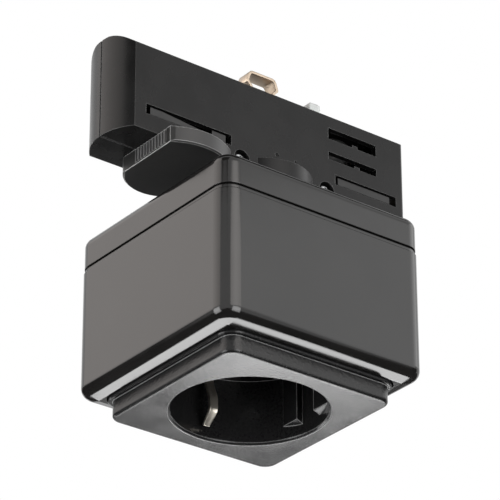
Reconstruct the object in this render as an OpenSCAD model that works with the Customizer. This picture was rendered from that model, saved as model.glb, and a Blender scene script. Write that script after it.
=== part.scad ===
// Track light adapter with an earthed power socket box hung under it.
// Frame: origin on the plug recess axis at the socket face, +X from the lever end to the contact end,
// -Y to the viewer's side, +Z up to the track. Sizes in millimetres.

/* [Socket face] */
// Margin of the housing round the square socket plate
plate_margin = 6; // [5:0.1:8]
// Height of the plate below the housing's bottom face
plate_stand = 5.3; // [4:0.1:8]
// Corner radius of the plate
plate_corner_r = 3.5; // [2:0.1:6]
// Rounding of the plate's face edge
plate_edge_r = 0.8; // [0.4:0.1:1.5]
// Radius of the plug recess
well_r = 19.5; // [18.5:0.1:20.5]
// Depth of the plug recess
well_depth = 17.5; // [16:0.5:19]
// Spacing of the two pin holes
pin_pitch = 19; // [18:0.1:20]
// Radius of a pin hole
pin_hole_r = 2.9; // [2.6:0.1:3.4]

/* [Housing] */
// Side of the square housing
box_side = 62; // [60:0.5:70]
// Height of the housing from its bottom face to the seam
box_height = 35.7; // [34:0.1:45]
// Radius of the upright corners
box_corner_r = 4.7; // [3.5:0.1:8]
// Rounding of the housing's bottom edge
box_fillet_r = 2.6; // [1.5:0.1:3.2]
// Slope of the housing's bottom rim towards the plate, in degrees
rim_slope = 15; // [10:1:20]
// Wall of the housing and the lid
box_wall = 2.2; // [1.8:0.1:3]
// Height of the lid
lid_height = 8.6; // [7.8:0.1:12]
// Rounding of the lid's top edge
lid_fillet_r = 2.6; // [1.5:0.1:3.2]
// Open shadow gap between the housing and the lid
seam_gap = 0.4; // [0.3:0.05:0.8]

/* [Adapter body] */
// Width of the adapter
body_w = 19.2; // [18.6:0.1:20]
// X of the rounded lever end
body_left = -46.2; // [-50:0.1:-44.5]
// X of the flat contact end
body_right = 43.5; // [42.5:0.1:50]
// Height of the body at its flat top
body_h = 32; // [31.6:0.1:34]
// Radius of the shoulders beside the flat top
crown_r = 12; // [11:0.1:14]
// Half width of the flat top
crown_flat = 2.6; // [2:0.1:3.2]
// Radius of the rounded end in plan
end_r = 14.3; // [13:0.1:20]
// Rounding of the upright edges at the contact end
end_round = 1.2; // [0.8:0.1:1.6]
// Width of the parting groove between the half shells
seam_w = 0.4; // [0.3:0.05:0.6]
// X of the hanging nipple
nipple_x = 4.1; // [3:0.1:5]
// Radius of the round collar that seats under the track
collar_r = 13; // [12:0.1:14]
// Height of the collar
collar_h = 8.5; // [8:0.1:9]
// Gap between the lid and the adapter body
neck_h = 7; // [6:0.1:10]

/* [Locking mechanism] */
// X of the lever axis
lever_x = -26; // [-26.5:0.1:-25.5]
// X of the contact rotor axis
rotor_x = 26.3; // [26:0.1:27]
// Radius of the lever's grip arc
lever_r = 15.9; // [15.5:0.1:16.2]
// Offset of the grip arc from the lever axis to the viewer's side
lever_off = 2; // [1.8:0.05:2.2]
// Radius of the lever's far side
lever_far_r = 10.75; // [10.4:0.05:11]
// Distance of the lever's straight side from its axis
lever_flat = 9.65; // [9.3:0.05:10]
// Thickness of the lever
lever_t = 4.4; // [3.8:0.1:4.4]
// Thickness of the two locking bars
bar_t = 2; // [1.8:0.05:2.1]
// Reach of the lever's locking bar
bar_reach = 11.6; // [11:0.1:11.8]
// Reach of the contact end's locking bar
bar_reach_r = 12.4; // [12:0.1:12.6]
// Reach of the contact fingers from the rotor axis
finger_reach = 11; // [10.5:0.1:11]
// Radius of the crank pins about each axis
crank_r = 5.4; // [5.2:0.05:5.5]

/* [Clearances] */
// Radial clearance of the shafts and pins that turn
run_clear = 0.05; // [0.03:0.01:0.08]
// Gap between parts that move past each other
move_gap = 0.3; // [0.2:0.05:0.4]

/* [Hidden] */
$fn = 0;
plate_side = box_side - 2 * plate_margin;
box_z = plate_stand;
seam_z = box_z + box_height;
lid_z = seam_z + seam_gap;
lid_top = lid_z + lid_height;
lid_side = box_side - 0.4;
lid_plate = 2.5;
lid_in = lid_top - lid_plate;
body_z = lid_top + neck_h;
body_top = body_z + body_h;
lever_z = body_z;
lever_top = lever_z + lever_t;
cut_z = lever_z + 4.6;
seat_z = body_z + collar_h;
half_w = body_w / 2;
wall_in = half_w - 1.6;
shoulder_a = 8;
shoulder_y = crown_flat - crown_r * sin(shoulder_a);
shoulder_z = body_top - crown_r * cos(shoulder_a);
lever_shift = 0.8;
lever_reach = lever_r + norm([lever_shift, lever_off]);
seam_d = 0.5;
slot_z = seat_z + 0.7;
slot_h = 2.8;
bar_z = slot_z + 0.4;
bar_w = body_w - 0.8;
link_z = bar_z + bar_t + 0.6;
link_t = 2;
pin_r = 1.1;
shaft_r = 2.2;
hub_r = 3.5;
square_s = 4;
left_slot_half = 13.1;
bar_swing = norm([bar_reach, bar_w / 2]) + move_gap;
bar_swing_r = norm([bar_reach_r, bar_w / 2]) + move_gap;
low_slot_z = slot_z + 6.8;
low_slot_h = 2.2;
high_slot_z = slot_z + 12.8;
high_slot_h = 3.2;
slot_half = 7.9;
cav_top = high_slot_z + high_slot_h + 1.8;
crank_a = crank_r * cos(45);
link_len = rotor_x - lever_x;
screw_z = body_z + 6.6;
screw_dx = 13.6;
nut_af = 14;
nut_h = 4.5;
nut_z = body_z + 3.5;
nip_r = 5;
nip_bore = 3.6;
nip_low = lid_in - nut_h - 0.5;
nip_high = nut_z + nut_h + 0.3;
spacer_r = 9;
plate_top = box_z + 3;
flange_z = plate_top;
flange_h = 1.6;
ledge_z = box_z - 0.8;
ledge_w = 1.1;
ledge_side = plate_side + 2 * ledge_w;
opening_side = ledge_side + 0.8;
cup_r = well_r + 2.2;
floor_z = well_depth;
base_z = floor_z + 2;
base_h = 13;
base_r = well_r + 1;
post_xy = box_side / 2 - 6.8;
post_r = 3.4;
post_z = flange_z + flange_h + move_gap;
strip_w = 2.8;
strip_t = 0.7;
clip_y = well_r - 2.3;
earth_bar_w = 6;
earth_y = -8.5;
terminal_y = 8.5;
terminal_depth = 6;
lid_screw_l = 13;
loop_x = nipple_x - 1.15;
loop_w = 4.2;
black = [0.13, 0.13, 0.13];
satin = [0.2, 0.2, 0.21];
steel = [0.75, 0.75, 0.74];
brass = [0.8, 0.65, 0.35];
bronze = [0.72, 0.58, 0.42];
white = [0.92, 0.93, 0.92];
tan_base = [0.62, 0.6, 0.55];

// Quarter profile of a rounded block, from its corner axis outwards, bottom edge rounded
module edge_profile(rc, rf, h) {
    square([rc - rf, h]);
    translate([rc - rf, rf])
        square([rf, h - rf]);
    translate([rc - rf, rf])
        intersection() {
            circle(rf);
            translate([0, -rf])
                square([rf, rf]);
        }
}

// Quarter profile like edge_profile, with a flat bottom rim that slopes up outwards from u0 at angle tilt
module rim_profile(rc, rf, h, u0, tilt) {
    u1 = rc - rf + rf * sin(tilt);
    z1 = (u1 - u0) * tan(tilt);
    zc = z1 + rf * cos(tilt);
    polygon([[0, 0], [u0, 0], [u1, z1], [rc - rf, zc], [rc, zc], [rc, h], [0, h]]);
    translate([rc - rf, zc])
        intersection() {
            circle(rf);
            polygon([[0, 0], [2 * rf * sin(tilt), -2 * rf * cos(tilt)], [2 * rf, -2 * rf], [2 * rf, 0]]);
        }
}

// Square block of side s and height h with upright corners rc; children are its quarter profile
module profiled_block(s, h, rc) {
    k = s / 2 - rc;
    translate([-k, -k, 0])
        cube([2 * k, 2 * k, h]);
    for (a = [0, 90, 180, 270])
        rotate([0, 0, a]) {
            translate([k, k, 0])
                rotate_extrude(angle = 90)
                    children();
            translate([k, k, 0])
                rotate([90, 0, 0])
                    linear_extrude(2 * k)
                        children();
        }
}

// Square block of side s and height h with upright corners rc and its bottom edge rounded by rf
module rounded_block(s, h, rc, rf) {
    profiled_block(s, h, rc)
        edge_profile(rc, rf, h);
}

// Flat square of side s with corners of radius r
module soft_square(s, r) {
    k = s / 2 - r;
    polygon([[s / 2, -k], [s / 2, k], [k, s / 2], [-k, s / 2],
             [-s / 2, k], [-s / 2, -k], [-k, -s / 2], [k, -s / 2]]);
    for (a = [0, 90, 180, 270])
        rotate(a)
            translate([k, k])
                intersection() {
                    circle(r);
                    square([r, r]);
                }
}

// Upright prism of a soft square between two heights
module soft_prism(s, r, z0, z1) {
    translate([0, 0, z0])
        linear_extrude(z1 - z0)
            soft_square(s, r);
}

// Block left over outside the round lever end, to cut the body to that curve
module end_cutter() {
    difference() {
        translate([body_left - 4, -half_w - 4, cut_z - 1])
            cube([end_r + 4, body_w + 8, body_h + 2]);
        translate([body_left + end_r, 0, cut_z - 2])
            cylinder(r = end_r, h = body_h + 4);
    }
}

// Prism over one shoulder of the top; s is the side
module shoulder_cutter(s) {
    y0 = crown_flat - 0.5;
    y1 = half_w + 2;
    translate([body_left - 5, 0, 0])
        rotate([90, 0, 90])
            linear_extrude(body_right - body_left + 10)
                difference() {
                    translate([s > 0 ? y0 : -y1, body_top - crown_r / 2])
                        square([y1 - y0, crown_r]);
                    translate([s * shoulder_y, shoulder_z])
                        circle(crown_r);
                }
}

// Facets that round one upright edge of the contact end; s is the side
module edge_cutter(s) {
    translate([body_right - end_round, s * (half_w - end_round), cut_z - 1])
        for (a = [30, 60])
            rotate([0, 0, s * a])
                translate([end_round, -4, 0])
                    cube([4, 8, body_h]);
}

// Fine groove along the line where the half shells meet
module parting_groove() {
    translate([body_left - 1, -seam_w / 2, cut_z - 1])
        cube([1 + seam_d, seam_w, body_h + 2]);
    translate([body_right - seam_d, -seam_w / 2, body_z - 1])
        cube([1 + seam_d, seam_w, body_h + 2]);
    translate([body_left - 1, -seam_w / 2, body_top - seam_d])
        cube([body_right - body_left + 2, seam_w, 1 + seam_d]);
    translate([body_left - 1, -seam_w / 2, cut_z - 1])
        cube([lever_x - hub_r - 1 - body_left, seam_w, 1 + seam_d]);
}

// Outer form of the adapter body before it is hollowed and split
module body_outer() {
    difference() {
        translate([body_left, -half_w, cut_z])
            cube([body_right - body_left, body_w, body_top - cut_z]);
        end_cutter();
        for (s = [-1, 1]) {
            shoulder_cutter(s);
            edge_cutter(s);
        }
    }
    difference() {
        union() {
            translate([lever_x, -half_w, body_z])
                cube([body_right - lever_x, body_w, cut_z - body_z]);
            translate([nipple_x, 0, body_z])
                cylinder(r = collar_r, h = collar_h);
        }
        translate([lever_x, 0, body_z - 1])
            cylinder(r = lever_reach + 2 * move_gap, h = cut_z - body_z + 1);
    }
}

// Slot through both sides of the body, with a small tooth on its lower edge
module contact_slot(z, h, tooth_x) {
    difference() {
        translate([rotor_x - slot_half, -half_w - 2, z])
            cube([2 * slot_half, body_w + 4, h]);
        translate([tooth_x, -half_w - 3, z - 1])
            cube([1.7, body_w + 6, 1.7]);
    }
}

// Everything taken out of the body
module body_hollow() {
    translate([lever_x - left_slot_half, -half_w - 5, slot_z])
        cube([2 * left_slot_half, body_w + 10, slot_h]);
    translate([rotor_x - 5.8, -half_w - 5, slot_z])
        cube([20.1, body_w + 10, slot_h]);
    translate([lever_x - bar_swing, -wall_in, slot_z])
        cube([2 * bar_swing, 2 * wall_in, slot_h]);
    translate([lever_x - 8, -wall_in, slot_z + slot_h / 2])
        cube([link_len + 16, 2 * wall_in, link_z + link_t + 0.5 - slot_z - slot_h / 2]);
    translate([rotor_x - 11.8, -wall_in, slot_z])
        cube([11.8 + bar_swing_r, 2 * wall_in, cav_top - slot_z]);
    parting_groove();
    for (p = [[-2.5, 0.6], [3.4, 0.35]])
        translate([nipple_x + p[0], -half_w - 1, slot_z + 2.2])
            rotate([-90, 0, 0])
                cylinder(r = p[1], h = 1.5);
    contact_slot(high_slot_z, high_slot_h, rotor_x);
    contact_slot(low_slot_z, low_slot_h, rotor_x + 0.6);
    translate([lever_x, 0, body_z - 1])
        cylinder(r = hub_r + run_clear, h = slot_z - body_z + 2);
    translate([lever_x, 0, link_z])
        cylinder(r = shaft_r + run_clear, h = link_t + 5.5);
    translate([rotor_x, 0, body_z + 3.6])
        cylinder(r = shaft_r + run_clear, h = body_h - 5.3);
    translate([nipple_x, 0, body_z - 1])
        cylinder(r = nip_r + run_clear, h = slot_z + slot_h / 2 - body_z + 2);
    translate([nipple_x, 0, nut_z])
        cylinder(d = nut_af / cos(30), h = nut_h + 0.9, $fn = 6);
    for (s = [-1, 1])
        translate([nipple_x + s * screw_dx, 0, screw_z])
            rotate([-90, 0, 0]) {
                translate([0, 0, -half_w - 1])
                    cylinder(r = 2.4, h = 3.2);
                translate([0, 0, -half_w])
                    cylinder(r = 1.45, h = half_w);
                cylinder(r = 1.25, h = 7.2);
            }
    for (x = [loop_x - 3.4, loop_x + 3.4])
        translate([x - 0.4, -loop_w / 2 - 0.05, body_top - 3.4])
            cube([0.8, loop_w + 0.1, 6]);
    translate([rotor_x - 9.4, -4, body_top - 3])
        cube([3.6, 4, 6]);
}

// One half of the body; s is -1 for the viewer's side, 1 for the far side
module body_half(s) {
    intersection() {
        difference() {
            body_outer();
            body_hollow();
        }
        translate([-60, s < 0 ? -30 : 0, body_z - 5])
            cube([120, 30, body_h + 10]);
    }
}

module shell_near() {
    color(black)
        body_half(-1);
}

module shell_far() {
    color(black)
        body_half(1);
}

// Cross recess cut into a screw head, point at the origin, opening along -Z
module cross_cut(w, d) {
    translate([-w / 2, -0.3, -1])
        cube([w, 0.6, 1 + d]);
    translate([-0.3, -w / 2, -1])
        cube([0.6, w, 1 + d]);
}

// Two screws that hold the half shells together
module shell_screws() {
    color(steel)
        for (s = [-1, 1])
            translate([nipple_x + s * screw_dx, -half_w + 0.7, screw_z])
                rotate([-90, 0, 0])
                    difference() {
                        union() {
                            cylinder(r = 2, h = 1.5);
                            cylinder(r = 1.25, h = half_w + 6.3);
                        }
                        cross_cut(2.6, 0.9);
                    }
}

// Round plate of radius r with softened edges, about the Z axis
module lever_plate(r) {
    c = 0.4;
    rotate_extrude()
        polygon([[0, 0], [r - c, 0], [r, c], [r, lever_t - c / 2], [r - c / 2, lever_t], [0, lever_t]]);
}

// Lever plate about its axis: wide grip arc on the -Y side, ribbed straight side at -X, round far side
module lever_disc() {
    corner_y = lever_off + sqrt(pow(lever_r, 2) - pow(lever_flat - lever_shift, 2));
    difference() {
        union() {
            difference() {
                translate([-lever_shift, -lever_off, lever_z])
                    lever_plate(lever_r);
                translate([-lever_r - 5, 0, lever_z - 1])
                    cube([2 * lever_r + 10, lever_r + 5, lever_t + 2]);
            }
            translate([0, 0, lever_z])
                lever_plate(lever_far_r);
        }
        for (s = [-1, 1])
            translate([s > 0 ? lever_flat : -lever_flat - 20, -30, lever_z - 1])
                cube([20, 60, lever_t + 2]);
        translate([-lever_flat, -corner_y, lever_z - 1])
            rotate([0, 0, 48])
                translate([-3.8, -4, 0])
                    cube([4, 8, lever_t + 2]);
        for (i = [-5 : 5])
            translate([-lever_flat - 0.35, i * 1.2 - 6.8, lever_z + 0.6])
                cylinder(r = 0.55, h = lever_t);
    }
}

// Turned and locked by hand: disc, hub in the body floor, square for the bar and top journal
module locking_lever() {
    color(black)
        translate([lever_x, 0, 0]) {
            lever_disc();
            translate([0, 0, lever_top - 0.5])
                cylinder(r = hub_r, h = bar_z - lever_top + 0.5);
            translate([-square_s / 2, -square_s / 2, bar_z - 0.5])
                cube([square_s, square_s, bar_t + 0.5]);
            translate([0, 0, bar_z + bar_t])
                cylinder(r = shaft_r, h = link_z + link_t + 5 - bar_z - bar_t);
        }
}

// Pin that carries the drive bar, at the resting angle of the crank
module crank_pin() {
    translate([crank_a, crank_a, bar_z + bar_t])
        cylinder(r = pin_r, h = link_z + link_t + 0.2 - bar_z - bar_t);
}

// Locking bar on the lever shaft, flush in the long slot until the lever is turned; a ramp on each long side
module lock_bar_left() {
    color(steel)
        translate([lever_x, 0, 0]) {
            difference() {
                translate([-bar_reach, -bar_w / 2, bar_z])
                    cube([2 * bar_reach, bar_w, bar_t]);
                translate([-square_s / 2, -square_s / 2, bar_z - 1])
                    cube([square_s, square_s, bar_t + 2]);
                for (a = [0, 180])
                    rotate([0, 0, a])
                        translate([-8, -bar_w / 2 - 1, bar_z + bar_t])
                            rotate([0, 5.4, 0])
                                cube([15.3, 3.6, 2]);
            }
            crank_pin();
        }
}

// Bar that carries the lever's turn to the contact rotor
module drive_bar() {
    color(steel)
        translate([lever_x + crank_a, crank_a, link_z])
            difference() {
                union() {
                    translate([0, -1.2, 0])
                        cube([link_len, 2.4, link_t]);
                    for (x = [0, link_len])
                        translate([x, 0, 0])
                            cylinder(r = 2.2, h = link_t);
                }
                for (x = [0, link_len])
                    translate([x, 0, -1])
                        cylinder(r = pin_r + run_clear, h = link_t + 2);
            }
}

// Contact finger box about the rotor axis, along +X, between two heights
module finger(z, t) {
    translate([2, -1.2, z])
        cube([finger_reach - 2, 2.4, t]);
}

// Upright rotor that carries both contacts and the second locking bar
module contact_rotor() {
    color(white)
        translate([rotor_x, 0, 0])
            difference() {
                union() {
                    translate([0, 0, body_z + 4])
                        cylinder(r = shaft_r, h = bar_z - body_z - 4);
                    translate([-square_s / 2, -square_s / 2, bar_z - 0.2])
                        cube([square_s, square_s, bar_t + 0.2]);
                    translate([0, 0, bar_z + bar_t])
                        cylinder(r = shaft_r, h = link_z + link_t + 0.6 - bar_z - bar_t);
                    translate([0, 0, link_z + link_t + 0.6])
                        cylinder(r = 4.8, h = cav_top - link_z - link_t - 1.2);
                    translate([0, 0, cav_top - 0.6])
                        cylinder(r = shaft_r, h = 2);
                }
                finger(low_slot_z + 1, 0.9);
                rotate([0, 0, 180])
                    finger(high_slot_z + 1.3, 1.2);
            }
}

// Locking bar on the rotor, flush in the short slot until the rotor turns
module lock_bar_right() {
    color(steel)
        translate([rotor_x, 0, 0]) {
            difference() {
                translate([-4.7, -bar_w / 2, bar_z])
                    cube([4.7 + bar_reach_r, bar_w / 2 + 5.4, bar_t]);
                translate([-square_s / 2, -square_s / 2, bar_z - 1])
                    cube([square_s, square_s, bar_t + 2]);
            }
            crank_pin();
        }
}

module phase_contact() {
    color(brass)
        translate([rotor_x, 0, 0])
            rotate([0, 0, 180])
                finger(high_slot_z + 1.3, 1.2);
}

module neutral_contact() {
    color(brass)
        translate([rotor_x, 0, 0])
            finger(low_slot_z + 1, 0.9);
}

// Bent strip that presses on the track's earth conductor
module earth_loop() {
    z = body_top;
    color(bronze)
        translate([loop_x, loop_w / 2, 0])
            rotate([90, 0, 0])
                linear_extrude(loop_w)
                    polygon([[-3.75, z - 3.3], [-3.75, z + 2.2], [-5.25, z + 3.7], [-4.4, z + 6.4],
                             [-3.7, z + 7], [3.7, z + 7], [4.4, z + 6.4], [5.25, z + 3.7],
                             [3.75, z + 2.2], [3.75, z - 3.3], [3.05, z - 3.3], [3.05, z + 2.5],
                             [4.5, z + 3.9], [3.8, z + 6], [3.4, z + 6.3], [-3.4, z + 6.3],
                             [-3.8, z + 6], [-4.5, z + 3.9], [-3.05, z + 2.5], [-3.05, z - 3.3]]);
}

// Peg on the top that lets the adapter enter the track one way round only
module guide_peg() {
    color(white)
        translate([rotor_x - 9.4, -4, body_top - 3]) {
            cube([3.6, 4, 5.8]);
            translate([0.5, 0.5, 5.8])
                cube([2.6, 3, 0.5]);
        }
}

// Threaded tube that hangs the box from the adapter and carries the leads
module nipple() {
    color(steel)
        translate([nipple_x, 0, nip_low])
            difference() {
                cylinder(r = nip_r, h = nip_high - nip_low);
                translate([0, 0, -1])
                    cylinder(r = nip_bore, h = nip_high - nip_low + 2);
            }
}

module neck_spacer() {
    color(black)
        translate([nipple_x, 0, lid_top])
            difference() {
                cylinder(r = spacer_r, h = neck_h);
                translate([0, 0, -1])
                    cylinder(r = nip_r + run_clear, h = neck_h + 2);
            }
}

// Hexagon nut with a bore that fits the nipple
module hex_nut(h) {
    difference() {
        cylinder(d = nut_af / cos(30) - 0.3, h = h, $fn = 6);
        translate([0, 0, -1])
            cylinder(r = nip_r, h = h + 2);
    }
}

module nipple_nuts() {
    color(steel) {
        translate([nipple_x, 0, nut_z])
            hex_nut(nut_h);
        translate([nipple_x, 0, lid_in - nut_h])
            hex_nut(nut_h);
    }
}

// Corner places of the lid screws and their posts, each turned so that +X and +Y run to the walls
module at_posts() {
    for (a = [0, 90, 180, 270])
        rotate([0, 0, a])
            translate([post_xy, post_xy, 0])
                children();
}

module lid() {
    ledge = seam_z + 2.4;
    color(black)
        difference() {
            translate([0, 0, lid_top])
                mirror([0, 0, 1])
                    rounded_block(lid_side, lid_height, box_corner_r - 0.2, lid_fillet_r);
            soft_prism(lid_side - 2 * box_wall + 0.4, box_corner_r - box_wall, lid_z - 1, ledge);
            soft_prism(lid_side - 2 * box_wall - 2, box_corner_r - box_wall - 0.5, lid_z - 1, lid_in);
            translate([nipple_x, 0, lid_top - 4])
                cylinder(r = nip_r + run_clear, h = 6);
            at_posts() {
                translate([0, 0, lid_top - 4])
                    cylinder(r = 1.6, h = 5);
                translate([0, 0, lid_top - 1.6])
                    cylinder(r1 = 1.6, r2 = 3.2, h = 1.6);
            }
        }
}

// Four countersunk screws from the lid into the housing's corner posts
module lid_screws() {
    color(steel)
        at_posts()
            difference() {
                union() {
                    translate([0, 0, lid_top - 1.7])
                        cylinder(r1 = 1.5, r2 = 3, h = 1.5);
                    translate([0, 0, lid_top - lid_screw_l])
                        cylinder(r = 1.5, h = lid_screw_l - 1.5);
                }
                translate([0, 0, lid_top - 0.2])
                    mirror([0, 0, 1])
                        cross_cut(3.2, 0.9);
            }
}

module housing() {
    inner = box_side - 2 * box_wall;
    rim_u = box_corner_r - (box_side - opening_side) / 2;
    color(black)
        difference() {
            union() {
                difference() {
                    union() {
                        translate([0, 0, box_z])
                            profiled_block(box_side, box_height - 1, box_corner_r)
                                rim_profile(box_corner_r, box_fillet_r, box_height - 1, rim_u, rim_slope);
                        soft_prism(box_side - 0.8, box_corner_r - 0.4, seam_z - 1, seam_z);
                        soft_prism(inner - 0.2, box_corner_r - box_wall, seam_z, seam_z + 2.4);
                    }
                    soft_prism(inner - 2.8, box_corner_r - box_wall - 0.6, plate_top, seam_z + 3);
                }
                at_posts()
                    translate([0, 0, post_z]) {
                        cylinder(r = post_r, h = lid_in - post_z);
                        cube([inner / 2 - post_xy - 0.7, inner / 2 - post_xy - 0.7, seam_z - post_z]);
                    }
                for (a = [0, 90, 180, 270])
                    rotate([0, 0, a])
                        translate([inner / 2 - 2.4, -4, flange_z + flange_h])
                            cube([1.4, 8, 2]);
            }
            soft_prism(opening_side, plate_corner_r + ledge_w + 0.4, box_z - 1, plate_top + 1);
            at_posts()
                translate([0, 0, lid_top - lid_screw_l - 0.5])
                    cylinder(r = 1.5, h = lid_screw_l + 1);
        }
}

// Guide ribs inside the plug recess, their lower ends sloped to lead the plug in
module guide_ribs() {
    x = well_r - 2.1;
    intersection() {
        translate([0, 0, 2])
            cylinder(r = well_r + 0.5, h = floor_z - 2);
        for (a = [0, 180])
            rotate([0, 0, a])
                for (y = [-3.3, 9.3])
                    translate([x, y, 0])
                        rotate([90, 0, 0])
                            linear_extrude(6)
                                polygon([[0, 4.2], [5, 2.1], [5, floor_z + 1], [0, floor_z + 1]]);
    }
}

// Square face plate, plug recess, guide ribs and snap flange in one moulding
module socket_insert() {
    color(satin)
        difference() {
            union() {
                difference() {
                    union() {
                        rounded_block(plate_side, ledge_z + 0.4, plate_corner_r, plate_edge_r);
                        translate([0, 0, ledge_z])
                            rounded_block(ledge_side, flange_z - ledge_z, plate_corner_r + ledge_w, 0.35);
                        soft_prism(plate_side + 4.6, plate_corner_r, flange_z, flange_z + flange_h);
                        translate([0, 0, flange_z])
                            cylinder(r = cup_r, h = base_z - flange_z);
                    }
                    translate([0, 0, -1])
                        cylinder(r = well_r, h = floor_z + 1);
                    translate([0, 0, -0.01])
                        cylinder(r1 = well_r + 0.6, r2 = well_r, h = 0.6);
                }
                guide_ribs();
            }
            for (s = [-1, 1])
                translate([s * pin_pitch / 2, 0, floor_z - 1])
                    cylinder(r = pin_hole_r, h = 4);
            for (s = [-1, 1])
                translate([-strip_w / 2, s * clip_y - 0.6, floor_z - 1])
                    cube([strip_w, 1.2, 4]);
            translate([0, 0, floor_z - 1])
                cylinder(r = 1.8, h = 4);
        }
}

// Moulded base behind the recess that holds the contacts
module socket_base() {
    color(tan_base)
        translate([0, 0, base_z])
            difference() {
                cylinder(r = base_r, h = base_h);
                for (s = [-1, 1])
                    translate([s * pin_pitch / 2, 0, -1])
                        cylinder(r = 4, h = 11.5);
                for (s = [-1, 1])
                    translate([-strip_w / 2, s * clip_y - strip_t / 2, -1])
                        cube([strip_w, strip_t, base_h + 2]);
                translate([0, 0, -1])
                    cylinder(r = 1.6, h = base_h - 1);
                for (p = [[-pin_pitch / 2, terminal_y], [pin_pitch / 2, terminal_y], [0, earth_y]])
                    translate([p[0], p[1], base_h - terminal_depth])
                        cylinder(r = 1.25, h = terminal_depth + 1);
            }
}

// Strip over the back of the base with a spring clip in each side of the recess
module earth_bracket() {
    z = base_z + base_h;
    t = strip_t / 2;
    y0 = clip_y - t;
    y1 = clip_y + t;
    color(bronze)
        difference() {
            union() {
                translate([-earth_bar_w / 2, -clip_y - strip_t / 2, z])
                    cube([earth_bar_w, 2 * clip_y + strip_t, strip_t]);
                for (s = [-1, 1])
                    translate([-strip_w / 2, 0, 0])
                        rotate([90, 0, 90])
                            linear_extrude(strip_w)
                                scale([s, 1])
                                    polygon([[y0, z + t], [y1, z + t], [y1, floor_z - 0.5],
                                             [y1 - 0.8, 13.8], [y1 - 2.5, 9.6], [y1 - 2.6, 6.1],
                                             [y1 + 0.55, 3.05], [y1 + 0.1, 2.45], [y0 - 2.6, 5.6],
                                             [y0 - 2.7, 6], [y0 - 2.6, 9.7], [y0 - 0.8, 13.9],
                                             [y0, floor_z - 0.5]]);
            }
            translate([0, earth_y, z - 1])
                cylinder(r = 1.25, h = 4);
        }
}

// Sprung brass tube that grips a plug pin, with a terminal block behind
module pin_socket(s) {
    translate([s * pin_pitch / 2, 0, base_z + 0.5])
        difference() {
            cylinder(r = 3.6, h = 10);
            translate([0, 0, -1])
                cylinder(r = 2.45, h = 9);
            translate([-0.4, -5, -1])
                cube([0.8, 10, 7]);
        }
}

module line_socket() {
    color(brass)
        pin_socket(1);
}

module neutral_socket() {
    color(brass)
        pin_socket(-1);
}

// Screw that joins the insert to its base, head on the recess floor
module centre_screw() {
    color(steel)
        difference() {
            union() {
                translate([0, 0, floor_z - 1.8])
                    cylinder(r = 3.2, h = 1.8);
                translate([0, 0, floor_z - 0.5])
                    cylinder(r = 1.6, h = 11);
            }
            translate([0, 0, floor_z - 1.8])
                cross_cut(3.8, 1);
        }
}

// Screws of the line, neutral and earth terminals on the back of the base
module terminal_screws() {
    z = base_z + base_h;
    color(steel)
        for (p = [[-pin_pitch / 2, terminal_y, 0], [pin_pitch / 2, terminal_y, 0], [0, earth_y, strip_t]])
            translate([p[0], p[1], z + p[2]])
                difference() {
                    union() {
                        cylinder(r = 2.4, h = 1.8);
                        translate([0, 0, 1 - terminal_depth - p[2]])
                            cylinder(r = 1.25, h = terminal_depth);
                    }
                    translate([0, 0, 1.8])
                        mirror([0, 0, 1])
                            cross_cut(3, 0.9);
                }
}

shell_near();
shell_far();
shell_screws();
locking_lever();
lock_bar_left();
drive_bar();
contact_rotor();
lock_bar_right();
phase_contact();
neutral_contact();
earth_loop();
guide_peg();
nipple();
neck_spacer();
nipple_nuts();
lid();
lid_screws();
housing();
socket_insert();
socket_base();
earth_bracket();
line_socket();
neutral_socket();
centre_screw();
terminal_screws();
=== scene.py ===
"""Track light adapter with an earthed socket box: finishes, small formed pieces and a plain studio."""

import logging
import math
from dataclasses import dataclass
from enum import Enum

import bmesh
import bpy
from mathutils import Matrix, Vector


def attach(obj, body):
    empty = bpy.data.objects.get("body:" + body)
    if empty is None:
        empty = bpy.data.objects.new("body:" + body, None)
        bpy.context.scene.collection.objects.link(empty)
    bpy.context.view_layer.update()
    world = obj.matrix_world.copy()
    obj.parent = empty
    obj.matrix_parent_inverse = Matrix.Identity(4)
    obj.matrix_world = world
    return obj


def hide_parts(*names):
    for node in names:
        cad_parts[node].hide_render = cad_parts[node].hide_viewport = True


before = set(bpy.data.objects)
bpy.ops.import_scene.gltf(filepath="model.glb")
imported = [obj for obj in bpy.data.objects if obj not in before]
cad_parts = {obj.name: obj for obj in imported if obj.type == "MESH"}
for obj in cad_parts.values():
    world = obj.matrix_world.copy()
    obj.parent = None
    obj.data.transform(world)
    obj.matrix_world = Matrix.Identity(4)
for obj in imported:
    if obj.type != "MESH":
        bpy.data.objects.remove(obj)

LOG = logging.getLogger("track_adapter")
# Shapes are in millimetres until new_piece scales them. The studio is in metres, apart from its flags.
MM = 0.001
IMAGE_SIDE_PX = 500
SENSOR_MM = 36.0
BASE_BODY = "base"
SMOOTH_DEG = 40.0
STRIP_EDGE = 0.09
SOFT_SEGMENTS = 2
ROUND_SEGMENTS = 4
NOISE_DARK = 0.3
NOISE_BRIGHT = 0.7
EDGE_SAMPLES = 6

Colour = tuple[float, float, float]
Tree = bpy.types.NodeTree
Socket = bpy.types.NodeSocket


class Grain(Enum):
    """Fine textures of moulded and drawn surfaces: size and depth in millimetres."""

    POLISHED = (0.9, 0.002)
    SATIN = (0.28, 0.006)
    SPARKED = (0.65, 0.06)

    @property
    def size_mm(self) -> float:
        """Size of the grain."""
        return self.value[0]

    @property
    def depth_mm(self) -> float:
        """Depth of the grain."""
        return self.value[1]


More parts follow.
